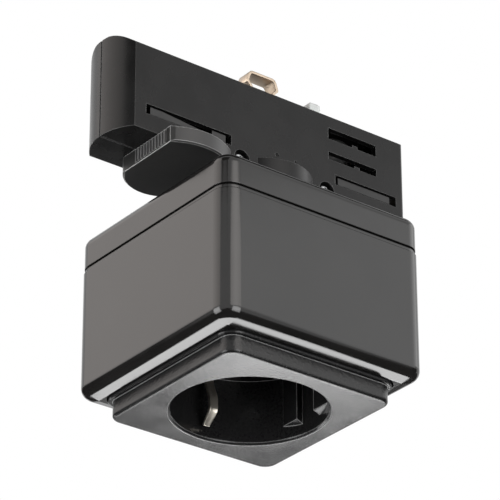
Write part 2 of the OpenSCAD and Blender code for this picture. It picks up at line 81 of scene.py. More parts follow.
def new_tree(material: bpy.types.Material) -> tuple[Tree, bpy.types.Node]:
    """Empty a material's nodes and give it a Principled shader.

    Args:
        material: the material to set up.

    Returns:
        The node tree and its Principled BSDF node.
    """
    material.use_nodes = True
    tree = material.node_tree
    tree.nodes.clear()
    output = tree.nodes.new("ShaderNodeOutputMaterial")
    shader = tree.nodes.new("ShaderNodeBsdfPrincipled")
    tree.links.new(shader.outputs["BSDF"], output.inputs["Surface"])
    return tree, shader


def map_range(tree: Tree, source: Socket, given: tuple[float, float],
              wanted: tuple[float, float]) -> Socket:
    """Map one range of values to another.

    Args:
        tree: the node tree.
        source: the value.
        given: its range.
        wanted: the range that it takes.

    Returns:
        The mapped value.
    """
    node = tree.nodes.new("ShaderNodeMapRange")
    names = ("From Min", "From Max", "To Min", "To Max")
    for name, value in zip(names, given + wanted):
        node.inputs[name].default_value = value
    tree.links.new(source, node.inputs["Value"])
    return node.outputs["Result"]


class SkinGroup:
    """Shader group shared by every finish: fine grain, slow colour drift and gloss patches."""

    NAME = "moulded_skin"
    GRAIN_DETAIL = 2.0
    GRAIN_ROUGHNESS = 0.55
    PATCH_SCALES = (("Tone", 55.0), ("Gloss", 130.0))
    PATCH_DETAIL = 3.0

    @classmethod
    def tree(cls) -> Tree:
        """Build the group once.

        Returns:
            The group with a Vector and a Frequency going in, and Height, Tone and Gloss coming out.
        """
        found = bpy.data.node_groups.get(cls.NAME)
        if found:
            return found
        group = bpy.data.node_groups.new(cls.NAME, "ShaderNodeTree")
        face = group.interface
        face.new_socket("Vector", in_out="INPUT", socket_type="NodeSocketVector")
        face.new_socket("Frequency", in_out="INPUT", socket_type="NodeSocketFloat")
        for name in ("Height", "Tone", "Gloss"):
            face.new_socket(name, in_out="OUTPUT", socket_type="NodeSocketFloat")
        ends = group.nodes.new("NodeGroupInput"), group.nodes.new("NodeGroupOutput")
        cls._grain(group, *ends)
        cls._patches(group, *ends)
        return group

    @classmethod
    def _grain(cls, group: Tree, start: bpy.types.Node, end: bpy.types.Node) -> None:
        """Add the fine grain that feeds Height.

        Args:
            group: the group's node tree.
            start: its input node.
            end: its output node.
        """
        noise = group.nodes.new("ShaderNodeTexNoise")
        noise.inputs["Detail"].default_value = cls.GRAIN_DETAIL
        noise.inputs["Roughness"].default_value = cls.GRAIN_ROUGHNESS
        group.links.new(start.outputs["Vector"], noise.inputs["Vector"])
        group.links.new(start.outputs["Frequency"], noise.inputs["Scale"])
        group.links.new(noise.outputs["Fac"], end.inputs["Height"])

    @classmethod
    def _patches(cls, group: Tree, start: bpy.types.Node, end: bpy.types.Node) -> None:
        """Add the slow drifts that feed Tone and Gloss.

        Args:
            group: the group's node tree.
            start: its input node.
            end: its output node.
        """
        for name, scale in cls.PATCH_SCALES:
            noise = group.nodes.new("ShaderNodeTexNoise")
            noise.inputs["Scale"].default_value = scale
            noise.inputs["Detail"].default_value = cls.PATCH_DETAIL
            group.links.new(start.outputs["Vector"], noise.inputs["Vector"])
            group.links.new(noise.outputs["Fac"], end.inputs[name])


class EdgeHighlightGroup:
    """Shader group that finds the edges for a painted highlight: a paler colour there stands in for the
    light that rounded edges catch.
    """

    NAME = "painted_edge_highlight"
    SAMPLES = 8
    FULL_DOT = 0.8
    NONE_DOT = 0.99

    @classmethod
    def tree(cls) -> Tree:
        """Build the group once.

        Returns:
            The group with a Radius going in and a Mask coming out.
        """
        found = bpy.data.node_groups.get(cls.NAME)
        if found:
            return found
        group = bpy.data.node_groups.new(cls.NAME, "ShaderNodeTree")
        group.interface.new_socket("Radius", in_out="INPUT", socket_type="NodeSocketFloat")
        group.interface.new_socket("Mask", in_out="OUTPUT", socket_type="NodeSocketFloat")
        start, end = group.nodes.new("NodeGroupInput"), group.nodes.new("NodeGroupOutput")
        edge = group.nodes.new("ShaderNodeBevel")
        edge.samples = cls.SAMPLES
        plain = group.nodes.new("ShaderNodeNewGeometry")
        dot = group.nodes.new("ShaderNodeVectorMath")
        dot.operation = "DOT_PRODUCT"
        group.links.new(start.outputs["Radius"], edge.inputs["Radius"])
        group.links.new(edge.outputs["Normal"], dot.inputs[0])
        group.links.new(plain.outputs["Normal"], dot.inputs[1])
        mask = map_range(group, dot.outputs["Value"], (cls.FULL_DOT, cls.NONE_DOT), (1.0, 0.0))
        group.links.new(mask, end.inputs["Mask"])
        return group


def lay_over(tree: Tree, mask: Socket, base: Socket, pale: Colour) -> Socket:
    """Lay one colour over another where a mask is bright.

    Args:
        tree: the material's node tree.
        mask: the mask.
        base: the colour where it is dark.
        pale: the colour where it is bright.

    Returns:
        The mixed colour.
    """
    mix = tree.nodes.new("ShaderNodeMix")
    mix.data_type = "RGBA"
    mix.inputs["B"].default_value = (*pale, 1.0)
    tree.links.new(mask, mix.inputs["Factor"])
    tree.links.new(base, mix.inputs["A"])
    return mix.outputs["Result"]


def place_edge_highlight(tree: Tree, base: Socket, pale: Colour, width_mm: float) -> Socket:
    """Lay the painted edge highlight over a colour.

    Args:
        tree: the material's node tree.
        base: the colour away from the edges.
        pale: the painted highlight colour on the edges.
        width_mm: width of the painted highlight line.

    Returns:
        The colour with its painted edge highlights.
    """
    # A pale line painted along the edges as a highlight, not wear.
    highlight = tree.nodes.new("ShaderNodeGroup")
    highlight.node_tree = EdgeHighlightGroup.tree()
    highlight.inputs["Radius"].default_value = width_mm * MM
    return lay_over(tree, highlight.outputs["Mask"], base, pale)


def place_skin(tree: Tree, grain: Grain) -> bpy.types.Node:
    """Put the shared skin group in a material, driven by Object coordinates.

    Args:
        tree: the material's node tree.
        grain: the texture that sets the grain's size.

    Returns:
        The group node.
    """
    where = tree.nodes.new("ShaderNodeTexCoord")
    skin = tree.nodes.new("ShaderNodeGroup")
    skin.node_tree = SkinGroup.tree()
    skin.inputs["Frequency"].default_value = 1.0 / (grain.size_mm * MM)
    tree.links.new(where.outputs["Object"], skin.inputs["Vector"])
    return skin


def ramp(tree: Tree, source: Socket, low: float, high: float) -> Socket:
    """Stretch a 0 to 1 noise over a range of values.

    Args:
        tree: the material's node tree.
        source: the noise.
        low: value where the noise is dark.
        high: value where it is bright.

    Returns:
        The stretched value.
    """
    return map_range(tree, source, (NOISE_DARK, NOISE_BRIGHT), (low, high))


def drift(tree: Tree, source: Socket, dark: Colour, pale: Colour) -> Socket:
    """Blend two near colours over the surface.

    Args:
        tree: the material's node tree.
        source: the noise that blends them.
        dark: colour where the noise is dark.
        pale: colour where it is bright.

    Returns:
        The blended colour.
    """
    node = tree.nodes.new("ShaderNodeMix")
    node.data_type = "RGBA"
    node.inputs["A"].default_value = (*dark, 1.0)
    node.inputs["B"].default_value = (*pale, 1.0)
    tree.links.new(ramp(tree, source, 0.0, 1.0), node.inputs["Factor"])
    return node.outputs["Result"]


def bump(tree: Tree, height: Socket, depth_mm: float, edge_mm: float) -> Socket:
    """Turn grain into a surface normal over softly rounded edges.

    Args:
        tree: the material's node tree.
        height: the grain.
        depth_mm: depth of the grain.
        edge_mm: radius that the moulded or cut edges show.

    Returns:
        The normal.
    """
    edge = tree.nodes.new("ShaderNodeBevel")
    edge.samples = EDGE_SAMPLES
    edge.inputs["Radius"].default_value = edge_mm * MM
    node = tree.nodes.new("ShaderNodeBump")
    node.inputs["Strength"].default_value = 1.0
    node.inputs["Distance"].default_value = depth_mm * MM
    tree.links.new(height, node.inputs["Height"])
    tree.links.new(edge.outputs["Normal"], node.inputs["Normal"])
    return node.outputs["Normal"]


def shade(colour: Colour, factor: float) -> Colour:
    """Scale a colour's three values."""
    return tuple(value * factor for value in colour)


@dataclass(frozen=True)
class PlasticFinish:
    """Moulded plastic with a mould texture, slightly uneven gloss and, optionally, a pale line painted
    along its edges as a highlight.
    """

    name: str
    colour: Colour
    roughness: float
    grain: Grain = Grain.SATIN
    gloss_spread: float = 0.05
    edge_mm: float = 0.25
    ior: float = 1.5
    # Grey and width of a painted highlight along the edges; a grey of nought leaves it out.
    highlight_grey: float = 0.0
    highlight_mm: float = 0.2
    fleck_grey: float = 0.0
    drift_dark: float = 0.86
    drift_pale: float = 1.18

    def material(self) -> bpy.types.Material:
        """Build the material.

        Returns:
            The finished material.
        """
        made = bpy.data.materials.new(self.name)
        tree, shader = new_tree(made)
        skin = place_skin(tree, self.grain)
        pale = shade(self.colour, self.drift_pale)
        dark = shade(self.colour, self.drift_dark)
        low, high = self.roughness - self.gloss_spread, self.roughness + self.gloss_spread
        colour = drift(tree, skin.outputs["Tone"], dark, pale)
        if self.fleck_grey:
            flecks = ramp(tree, skin.outputs["Height"], 0.0, 1.0)
            colour = lay_over(tree, flecks, colour, (self.fleck_grey,) * 3)
        # Painted highlight: a paler colour along the edges stands in for the light that they catch.
        if self.highlight_grey:
            colour = place_edge_highlight(tree, colour, (self.highlight_grey,) * 3, self.highlight_mm)
        tree.links.new(colour, shader.inputs["Base Color"])
        tree.links.new(ramp(tree, skin.outputs["Gloss"], low, high), shader.inputs["Roughness"])
        normal = bump(tree, skin.outputs["Height"], self.grain.depth_mm, self.edge_mm)
        tree.links.new(normal, shader.inputs["Normal"])
        shader.inputs["IOR"].default_value = self.ior
        return made


@dataclass(frozen=True)
class MetalFinish:
    """Bare or plated metal with fine drawn texture."""

    name: str
    colour: Colour
    roughness: float
    grain: Grain = Grain.SATIN
    edge_mm: float = 0.12
    drift_dark: float = 0.8
    gloss_low: float = 0.75
    gloss_high: float = 1.3

    def material(self) -> bpy.types.Material:
        """Build the material.

        Returns:
            The finished material.
        """
        made = bpy.data.materials.new(self.name)
        tree, shader = new_tree(made)
        skin = place_skin(tree, self.grain)
        dark = shade(self.colour, self.drift_dark)
        tree.links.new(drift(tree, skin.outputs["Tone"], dark, self.colour), shader.inputs["Base Color"])
        low, high = self.roughness * self.gloss_low, self.roughness * self.gloss_high
        rough = ramp(tree, skin.outputs["Gloss"], low, high)
        tree.links.new(rough, shader.inputs["Roughness"])
        normal = bump(tree, skin.outputs["Height"], self.grain.depth_mm, self.edge_mm)
        tree.links.new(normal, shader.inputs["Normal"])
        shader.inputs["Metallic"].default_value = 1.0
        return made


@dataclass(frozen=True)
class MilkyFinish:
    """Pale plastic that light soaks into a little."""

    name: str
    colour: Colour
    roughness: float
    depth_mm: float = 1.2
    soak: float = 0.35
    drift_dark: float = 0.94
    edge_mm: float = 0.2

    def material(self) -> bpy.types.Material:
        """Build the material.

        Returns:
            The finished material.
        """
        made = bpy.data.materials.new(self.name)
        tree, shader = new_tree(made)
        skin = place_skin(tree, Grain.SATIN)
        dark = shade(self.colour, self.drift_dark)
        tree.links.new(drift(tree, skin.outputs["Tone"], dark, self.colour), shader.inputs["Base Color"])
        normal = bump(tree, skin.outputs["Height"], Grain.SATIN.depth_mm, self.edge_mm)
        tree.links.new(normal, shader.inputs["Normal"])
        shader.inputs["Roughness"].default_value = self.roughness
        shader.inputs["Subsurface Weight"].default_value = self.soak
        shader.inputs["Subsurface Radius"].default_value = (1.0, 1.0, 1.0)
        shader.inputs["Subsurface Scale"].default_value = self.depth_mm * MM
        return made


class Surface(Enum):
    """Finishes of the part."""

    # The edge grey and width on the shell, lever and plate paint pale highlight lines along their edges.
    SHELL = PlasticFinish("shell_satin_black", (0.0058, 0.0057, 0.0057), 0.27, ior=1.31,
                          highlight_grey=0.13, highlight_mm=0.28)
    LEVER = PlasticFinish("lever_satin_black", (0.015, 0.0148, 0.0147), 0.34,
                          highlight_grey=0.8, highlight_mm=0.38)
    BOX = PlasticFinish("box_gloss_black", (0.009, 0.0086, 0.0083), 0.11, Grain.POLISHED,
                        gloss_spread=0.025, edge_mm=0.3)
    PLATE = PlasticFinish("plate_sparked_black", (0.0075, 0.0075, 0.008), 0.2, Grain.SPARKED,
                          gloss_spread=0.06, edge_mm=0.6, ior=1.38,
                          highlight_grey=0.42, highlight_mm=0.36, fleck_grey=0.013)
    BASE = PlasticFinish("base_grey", (0.36, 0.35, 0.32), 0.5)
    ROTOR = PlasticFinish("rotor_black", (0.022, 0.022, 0.022), 0.4)
    PEG = MilkyFinish("peg_milky_white", (0.6, 0.62, 0.61), 0.3)
    ZINC = MetalFinish("zinc_bright", (0.7, 0.71, 0.72), 0.2)
    BLACK_STEEL = MetalFinish("steel_blackened", (0.05, 0.05, 0.05), 0.4)
    BRASS = MetalFinish("brass_bright", (0.78, 0.6, 0.3), 0.25)
    BRONZE = MetalFinish("bronze_strip", (0.56, 0.46, 0.36), 0.42)
    NICKEL = MetalFinish("nickel_strip", (0.78, 0.73, 0.64), 0.38)


NODE_SURFACE: dict[Surface, tuple[str, ...]] = {
    Surface.SHELL: ("shell_near", "shell_far", "neck_spacer"),
    Surface.LEVER: ("locking_lever",),
    Surface.BOX: ("housing", "lid"),
    Surface.PLATE: ("socket_insert",),
    Surface.BASE: ("socket_base",),
    Surface.ROTOR: ("contact_rotor",),
    Surface.PEG: ("guide_peg",),
    Surface.ZINC: ("shell_screws", "nipple", "nipple_nuts", "lid_screws", "centre_screw",
                   "terminal_screws"),
    Surface.BLACK_STEEL: ("lock_bar_left", "lock_bar_right", "drive_bar"),
    Surface.BRASS: ("phase_contact", "neutral_contact", "line_socket", "neutral_socket"),
    Surface.BRONZE: ("earth_loop",),
    Surface.NICKEL: ("earth_bracket",),
}


class Wardrobe:
    """Materials of the part, each made once."""

    def __init__(self) -> None:
        """Build every finish."""
        self._made = {surface: surface.value.material() for surface in Surface}

    def dress(self, obj: bpy.types.Object, surface: Surface) -> None:
        """Give one object one finish.

        Args:
            obj: the object.
            surface: its finish.
        """
        obj.data.materials.clear()
        obj.data.materials.append(self._made[surface])

    def dress_nodes(self) -> None:
        """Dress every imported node."""
        for surface, names in NODE_SURFACE.items():
            for name in names:
                self.dress(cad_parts[name], surface)
                LOG.info("node %s wears %s", name, surface.value.name)


def new_piece(name: str, shape: bmesh.types.BMesh, node: str) -> bpy.types.Object:
    """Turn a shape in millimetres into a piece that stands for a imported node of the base.

    Args:
        name: the piece's name.
        shape: its mesh, which is freed.
        node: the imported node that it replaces.

    Returns:
        The new object.
    """
    bmesh.ops.scale(shape, vec=Vector((MM, MM, MM)), verts=shape.verts)
    for face in shape.faces:
        face.smooth = True
    mesh = bpy.data.meshes.new(name)
    shape.to_mesh(mesh)
    shape.free()
    mesh.set_sharp_from_angle(angle=math.radians(SMOOTH_DEG))
    piece = bpy.data.objects.new(name, mesh)
    bpy.context.scene.collection.objects.link(piece)
    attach(piece, BASE_BODY)
    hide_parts(node)
    LOG.info("piece %s stands for %s", name, node)
    return piece


def round_edges(shape: bmesh.types.BMesh, edges: list[bmesh.types.BMEdge], radius: float,
                segments: int) -> None:
    """Bevel edges round.

    Args:
        shape: the mesh.
        edges: the edges.
        radius: size of the rounding in millimetres.
        segments: number of flats in the rounding.
    """
    bmesh.ops.bevel(shape, geom=edges, offset=radius, offset_type="OFFSET", segments=segments,
                    profile=0.5, affect="EDGES", material=-1, clamp_overlap=True)


def soften(shape: bmesh.types.BMesh, radius: float, angle_deg: float = 55.0) -> None:
    """Round every edge that is sharper than an angle.

    Args:
        shape: the closed mesh.
        radius: size of the rounding in millimetres.
        angle_deg: angle between faces above which an edge is rounded.
    """
    limit = math.radians(angle_deg)
    sharp = [edge for edge in shape.edges if edge.is_manifold and edge.calc_face_angle(0.0) > limit]
    round_edges(shape, sharp, radius, SOFT_SEGMENTS)


@dataclass(frozen=True)
class Fold:
    """One point on a strip's outer outline: along its run, up, and the strip's width there."""

    run: float
    up: float
    width: float


@dataclass(frozen=True)
class FoldedStrip:
    """Sheet-metal strip bent at each fold of its outer outline, its thickness on the inner side."""

    folds: tuple[Fold, ...]
    thickness: float
    bend: float
    edge: float = STRIP_EDGE
    groove_margin: float = 0.0
    groove_depth: float = 0.0

    def shape(self) -> bmesh.types.BMesh:
        """Fold the strip with its width along X, its run along Y and up along Z.

        Returns:
            The closed mesh in millimetres.
        """
        made = bmesh.new()
        side = [made.verts.new((-fold.width / 2, fold.run, fold.up)) for fold in self.folds]
        rails = [made.edges.new(pair) for pair in zip(side, side[1:])]
        grown = bmesh.ops.extrude_edge_only(made, edges=rails)["geom"]
        across = [part for part in grown if isinstance(part, bmesh.types.BMVert)]
        bmesh.ops.scale(made, vec=Vector((-1.0, 1.0, 1.0)), verts=across)
        creases = [edge for edge in made.edges if len(edge.link_faces) == 2]
        round_edges(made, creases, self.bend, ROUND_SEGMENTS)
        if self.groove_depth:
            bmesh.ops.inset_region(made, faces=made.faces[:], thickness=self.groove_margin,
                                   depth=self.groove_depth, use_boundary=True, use_even_offset=True)
        bmesh.ops.solidify(made, geom=made.faces[:], thickness=self.thickness)
        bmesh.ops.recalc_face_normals(made, faces=made.faces)
        soften(made, self.edge)
        return made


@dataclass
class EarthLoop:
    """Bronze strip bent into a flared loop on the adapter's top, with heights that count from top_z."""

    centre_x: float = 2.95
    top_z: float = 89.0
    width: float = 4.2
    thickness: float = 0.7
    bend: float = 0.5
    leg_half: float = 3.75
    flare_half: float = 5.25
    shoulder_half: float = 4.4
    crown_half: float = 3.65
    root: float = -3.3
    waist: float = 2.2
    flare: float = 3.7
    shoulder: float = 6.3
    crown: float = 7.0

    def build(self, wardrobe: Wardrobe) -> None:
        """Bend the strip and dress it.

        Args:
            wardrobe: the finishes.
        """
        right = ((self.leg_half, self.root), (self.leg_half, self.waist), (self.flare_half, self.flare),
                 (self.shoulder_half, self.shoulder), (self.crown_half, self.crown))
        path = [(-x, z) for x, z in right] + [(x, z) for x, z in reversed(right)]
        strip = FoldedStrip(tuple(Fold(x, z, self.width) for x, z in path), self.thickness, self.bend)
        shape = strip.shape()
        bmesh.ops.rotate(shape, verts=shape.verts, matrix=Matrix.Rotation(-math.pi / 2, 3, "Z"))
        bmesh.ops.translate(shape, vec=Vector((self.centre_x, 0.0, self.top_z)), verts=shape.verts)
        piece = new_piece("earth_loop_strip", shape, "earth_loop")
        wardrobe.dress(piece, Surface.BRONZE)


@dataclass
class GuidePeg:
    """Milky peg with rounded corners and a narrower crown."""

    low: tuple[float, float, float] = (16.9, -4.0, 86.0)
    size: tuple[float, float, float] = (3.6, 4.0, 5.7)
    corner: float = 0.4
    crown_inset: float = 0.45
    crown_rise: float = 0.5
    edge: float = 0.3
    edge_angle_deg: float = 30.0
    upward: float = 0.9

    def build(self, wardrobe: Wardrobe) -> None:
        """Shape the peg and dress it.

        Args:
            wardrobe: the finishes.
        """
        shape = bmesh.new()
        bmesh.ops.create_cube(shape, size=1.0)
        bmesh.ops.scale(shape, vec=Vector(self.size), verts=shape.verts)
        middle = Vector(self.low) + Vector(self.size) / 2
        bmesh.ops.translate(shape, vec=middle, verts=shape.verts)
        upright = [e for e in shape.edges if abs(e.verts[0].co.z - e.verts[1].co.z) > self.size[2] / 2]
        round_edges(shape, upright, self.corner, ROUND_SEGMENTS)
        crown = [face for face in shape.faces if face.normal.z > self.upward]
        bmesh.ops.inset_region(shape, faces=crown, thickness=self.crown_inset, depth=self.crown_rise,
                               use_boundary=True, use_even_offset=True)
        soften(shape, self.edge, self.edge_angle_deg)
        piece = new_piece("guide_peg_milky", shape, "guide_peg")
        wardrobe.dress(piece, Surface.PEG)


@dataclass
class EarthClips:
    """Nickelled strip over the back of the socket base with a sprung clip in each side of the recess."""

    outer_y: float = 17.55
    bar_z: float = 32.5
    bar_width: float = 6.0
    thickness: float = 0.7
    hole_y: float = -8.5
    hole_r: float = 1.25
    bend: float = 0.6
    groove_margin: float = 0.55
    groove_depth: float = 0.16
    segments: int = 16
    near: float = 0.01
    # Each bend's run counts from outer_y.
    bends: tuple[Fold, ...] = (Fold(0.0, 17.0, 3.2), Fold(-0.8, 13.8, 3.0), Fold(-2.5, 9.6, 2.8),
                               Fold(-2.6, 6.1, 2.7), Fold(0.5, 3.0, 1.9))

    def build(self, wardrobe: Wardrobe) -> None:
        """Bend both clips, add the bar that joins them and dress the whole.

        Args:
            wardrobe: the finishes.
        """
        shape = self._clip()
        other = bmesh.ops.duplicate(shape, geom=shape.verts[:] + shape.edges[:] + shape.faces[:])["geom"]
        turned = [part for part in other if isinstance(part, bmesh.types.BMVert)]
        bmesh.ops.rotate(shape, verts=turned, matrix=Matrix.Rotation(math.pi, 3, "Z"))
        self._bar(shape)
        piece = new_piece("earth_clip_strip", shape, "earth_bracket")
        wardrobe.dress(piece, Surface.NICKEL)

    def _clip(self) -> bmesh.types.BMesh:
        """Bend the clip on the +Y side.

        Returns:
            The closed mesh in millimetres.
        """
        top = Fold(self.outer_y, self.bar_z + self.thickness, self.bends[0].width)
        rest = tuple(Fold(self.outer_y + fold.run, fold.up, fold.width) for fold in self.bends)
        strip = FoldedStrip((top, *rest), self.thickness, self.bend, groove_margin=self.groove_margin,
                            groove_depth=self.groove_depth)
        return strip.shape()

    def _bar(self, shape: bmesh.types.BMesh) -> None:
        """Add the bar with its terminal hole.

        Args:
            shape: the mesh that takes the bar.
        """
        bar = bmesh.new()
        half = self.bar_width / 2
        here = Matrix.Translation((0.0, self.hole_y, self.bar_z))
        bmesh.ops.create_circle(bar, segments=self.segments, radius=self.hole_r, matrix=here)
        square = bmesh.ops.create_circle(bar, segments=self.segments, radius=half, matrix=here)["verts"]
        for vert in square:
            flat = vert.co - here.translation
            vert.co = here.translation + flat * (half / max(abs(flat.x), abs(flat.y)))
        bmesh.ops.bridge_loops(bar, edges=bar.edges[:])
        for sign in (-1.0, 1.0):
            side_y = self.hole_y + sign * half
            end = [e for e in bar.edges if all(abs(v.co.y - side_y) < self.near for v in e.verts)]
            grown = bmesh.ops.extrude_edge_only(bar, edges=end)["geom"]
            for part in grown:
                if isinstance(part, bmesh.types.BMVert):
                    part.co.y = sign * self.outer_y
        bmesh.ops.recalc_face_normals(bar, faces=bar.faces)
        bmesh.ops.solidify(bar, geom=bar.faces[:], thickness=self.thickness)
        bmesh.ops.recalc_face_normals(bar, faces=bar.faces)
        soften(bar, STRIP_EDGE)
        mesh = bpy.data.meshes.new("earth_bar_draft")
        bar.to_mesh(mesh)
        bar.free()
        shape.from_mesh(mesh)
        bpy.data.meshes.remove(mesh)


@dataclass(frozen=True)
class PanScrew:
    """Pan-head screw with a cross recess, seated on the origin with its head along +Z."""

    head_r: float
    head_h: float
    shank_r: float
    shank_l: float
    segments: int = 32
    recess_share: float = 0.55
    arm_share: float = 0.14
    depth_share: float = 0.6
    floor_share: float = 0.75
    # The crown and the dome are shares of the head's radius and height.
    crown: tuple[float, float] = (0.68, 0.97)
    dome: tuple[tuple[float, float], ...] = ((0.86, 0.84), (0.96, 0.62), (1.0, 0.36), (1.0, 0.0))
    tip: float = 0.4

    def shape(self) -> bmesh.types.BMesh:
        """Build the screw.

        Returns:
            The closed mesh in millimetres.
        """
        made = bmesh.new()
        self._recess(made)
        radius, height = self.head_r * self.crown[0], self.head_h * self.crown[1]
        ring = bmesh.ops.create_circle(made, segments=self.segments, radius=radius,
                                       matrix=Matrix.Translation((0.0, 0.0, height)))["verts"]
        rim = [edge for edge in made.edges if all(vert in ring for vert in edge.verts)]
        mouth = [edge for edge in made.edges if edge.is_boundary and edge not in rim]
        bmesh.ops.bridge_loops(made, edges=rim + mouth)
        head = [(self.head_r * out, self.head_h * up) for out, up in self.dome]
        shank = [(self.shank_r, 0.0), (self.shank_r, self.tip - self.shank_l),
                 (self.shank_r - self.tip, -self.shank_l)]
        for radius, height in head + shank:
            rim = self._grow(made, rim, radius, height)
        bmesh.ops.edgeloop_fill(made, edges=rim)
        bmesh.ops.recalc_face_normals(made, faces=made.faces)
        return made

    def _recess(self, made: bmesh.types.BMesh) -> None:
        """Sink the cross recess, with walls that lean in towards its floor.

        Args:
            made: the mesh that takes it.
        """
        arm, half = self.head_r * self.recess_share, self.head_r * self.arm_share
        corner = [Vector((arm, -half, 0.0)), Vector((arm, half, 0.0)), Vector((half, half, 0.0))]
        rise = Vector((0.0, 0.0, self.head_h))
        outline = []
        for quarter in range(4):
            turn = Matrix.Rotation(quarter * math.pi / 2, 3, "Z")
            outline += [made.verts.new(turn @ point + rise) for point in corner]
        mouth = [made.edges.new(pair) for pair in zip(outline, outline[1:] + outline[:1])]
        grown = bmesh.ops.extrude_edge_only(made, edges=mouth)["geom"]
        floor = [part for part in grown if isinstance(part, bmesh.types.BMVert)]
        bmesh.ops.scale(made, vec=Vector((self.floor_share, self.floor_share, 1.0)), verts=floor)
        bmesh.ops.translate(made, vec=Vector((0.0, 0.0, -self.head_h * self.depth_share)), verts=floor)
        bmesh.ops.edgeloop_fill(made, edges=[e for e in made.edges if all(v in floor for v in e.verts)])

    @staticmethod
    def _grow(made: bmesh.types.BMesh, rim: list[bmesh.types.BMEdge], radius: float,
              height: float) -> list[bmesh.types.BMEdge]:
        """Extrude a round rim to another radius and height.

        Args:
            made: the mesh.
            rim: the rim's edges.
            radius: the new radius.
            height: the new height.

        Returns:
            The new rim's edges.
        """
        grown = bmesh.ops.extrude_edge_only(made, edges=rim)["geom"]
        verts = [part for part in grown if isinstance(part, bmesh.types.BMVert)]
        for vert in verts:
            out = Vector((vert.co.x, vert.co.y, 0.0)).normalized() * radius
            vert.co = out + Vector((0.0, 0.0, height))
        edges = [part for part in grown if isinstance(part, bmesh.types.BMEdge)]
        return [edge for edge in edges if all(vert in verts for vert in edge.verts)]


@dataclass(frozen=True)
class ScrewSet:
    """Screws of one node: their size, their seats and the turn that points their heads outwards."""

    name: str
    node: str
    screw: PanScrew
    seats: tuple[tuple[float, float, float], ...]
    turn_deg: float

    def build(self, wardrobe: Wardrobe) -> None:
        """Place a screw on each seat and dress the set.

        Args:
            wardrobe: the finishes.
        """
        turn = Matrix.Rotation(math.radians(self.turn_deg), 4, "X")
        draft = bpy.data.meshes.new(self.name + "_draft")
        one = self.screw.shape()
        one.to_mesh(draft)
        one.free()
        shape = bmesh.new()
        for seat in self.seats:
            before = set(shape.verts)
            shape.from_mesh(draft)
            fresh = [vert for vert in shape.verts if vert not in before]
            bmesh.ops.transform(shape, matrix=Matrix.Translation(seat) @ turn, verts=fresh)
        bpy.data.meshes.remove(draft)
        piece = new_piece(self.name, shape, self.node)
        wardrobe.dress(piece, Surface.ZINC)


SCREW_SETS: tuple[ScrewSet, ...] = (
    ScrewSet("shell_screw_heads", "shell_screws",
             PanScrew(head_r=2.0, head_h=1.5, shank_r=1.25, shank_l=14.4),
             seats=((-9.5, -7.4, 63.6), (17.7, -7.4, 63.6)), turn_deg=90.0),
    ScrewSet("centre_screw_head", "centre_screw",
             PanScrew(head_r=3.2, head_h=1.8, shank_r=1.6, shank_l=10.5),
             seats=((0.0, 0.0, 17.5),), turn_deg=180.0),
)


@dataclass
class Camera:
    """The photograph's viewpoint, solved from the plug recess and the box edges."""

    azimuth_deg: float = -37.596
    elevation_deg: float = -27.822
    roll_deg: float = -0.155
    focal_px: float = 3170.49
    distance_mm: float = 793.23
    aim_z_mm: float = 40.59
    slide_right_mm: float = 0.216
    slide_up_mm: float = 3.675
    clip_near: float = 0.01
    clip_far: float = 60.0

    def axes(self) -> tuple[Vector, Vector, Vector]:
        """Work out the camera's right, up and back directions.

        Returns:
            The three unit vectors.
        """
        a, e = math.radians(self.azimuth_deg), math.radians(self.elevation_deg)
        back = Vector((math.sin(a) * math.cos(e), -math.cos(a) * math.cos(e), math.sin(e)))
        right = Vector((0.0, 0.0, 1.0)).cross(back).normalized()
        up = back.cross(right)
        c, s = math.cos(math.radians(self.roll_deg)), math.sin(math.radians(self.roll_deg))
        return c * right + s * up, c * up - s * right, back

    def build(self) -> None:
        """Make the camera and set it as the scene's own."""
        right, up, back = self.axes()
        data = bpy.data.cameras.new("photo_camera")
        data.sensor_width = SENSOR_MM
        data.lens = self.focal_px / IMAGE_SIDE_PX * SENSOR_MM
        data.clip_start, data.clip_end = self.clip_near, self.clip_far
        camera = bpy.data.objects.new("photo_camera", data)
        eye = Vector((0.0, 0.0, self.aim_z_mm)) + back * self.distance_mm
        eye += right * self.slide_right_mm + up * self.slide_up_mm
        turn = Matrix((right, up, back)).transposed().to_4x4()
        camera.matrix_world = Matrix.Translation(eye * MM) @ turn
        bpy.context.scene.collection.objects.link(camera)
        bpy.context.scene.camera = camera


@dataclass(frozen=True)
class Bearing:
    """Direction from the part, with azimuth from +X towards +Y, and a distance in metres."""

    azimuth_deg: float
    elevation_deg: float
    distance: float

    def place(self, obj: bpy.types.Object, aim: Vector) -> None:
        """Put an object on the bearing with its front, its own -Z, turned to the part.

        Args:
            obj: the object.
            aim: the point that it faces.
        """
        a, e = math.radians(self.azimuth_deg), math.radians(self.elevation_deg)
        back = Vector((math.cos(a) * math.cos(e), math.sin(a) * math.cos(e), math.sin(e)))
        obj.location = aim + back * self.distance
        obj.rotation_euler = back.to_track_quat("Z", "Y").to_euler()


@dataclass(frozen=True)
class Softbox:
    """Rectangular area lamp with a grid that keeps its light to a cone."""

    name: str
    bearing: Bearing
    width: float
    height: float
    radiance: float
    colour: Colour = (1.0, 1.0, 1.0)
    half_cone_deg: float = 55.0

    def build(self, aim: Vector) -> None:
        """Make the lamp.

        Args:
            aim: the point that it faces.
        """
        data = bpy.data.lights.new(self.name, "AREA")
        data.shape = "RECTANGLE"
        data.size, data.size_y = self.width, self.height
        half = math.radians(self.half_cone_deg)
        data.spread = 2.0 * half
        # A narrower cone brightens the lamp's axis by this gain, and the energy takes that back.
        gain = math.tan(half) / (math.tan(half) - half)
        data.energy = self.radiance * math.pi * self.width * self.height / gain
        data.color = self.colour
        lamp = bpy.data.objects.new(self.name, data)
        bpy.context.scene.collection.objects.link(lamp)
        self.bearing.place(lamp, aim)
        lamp.visible_camera = False


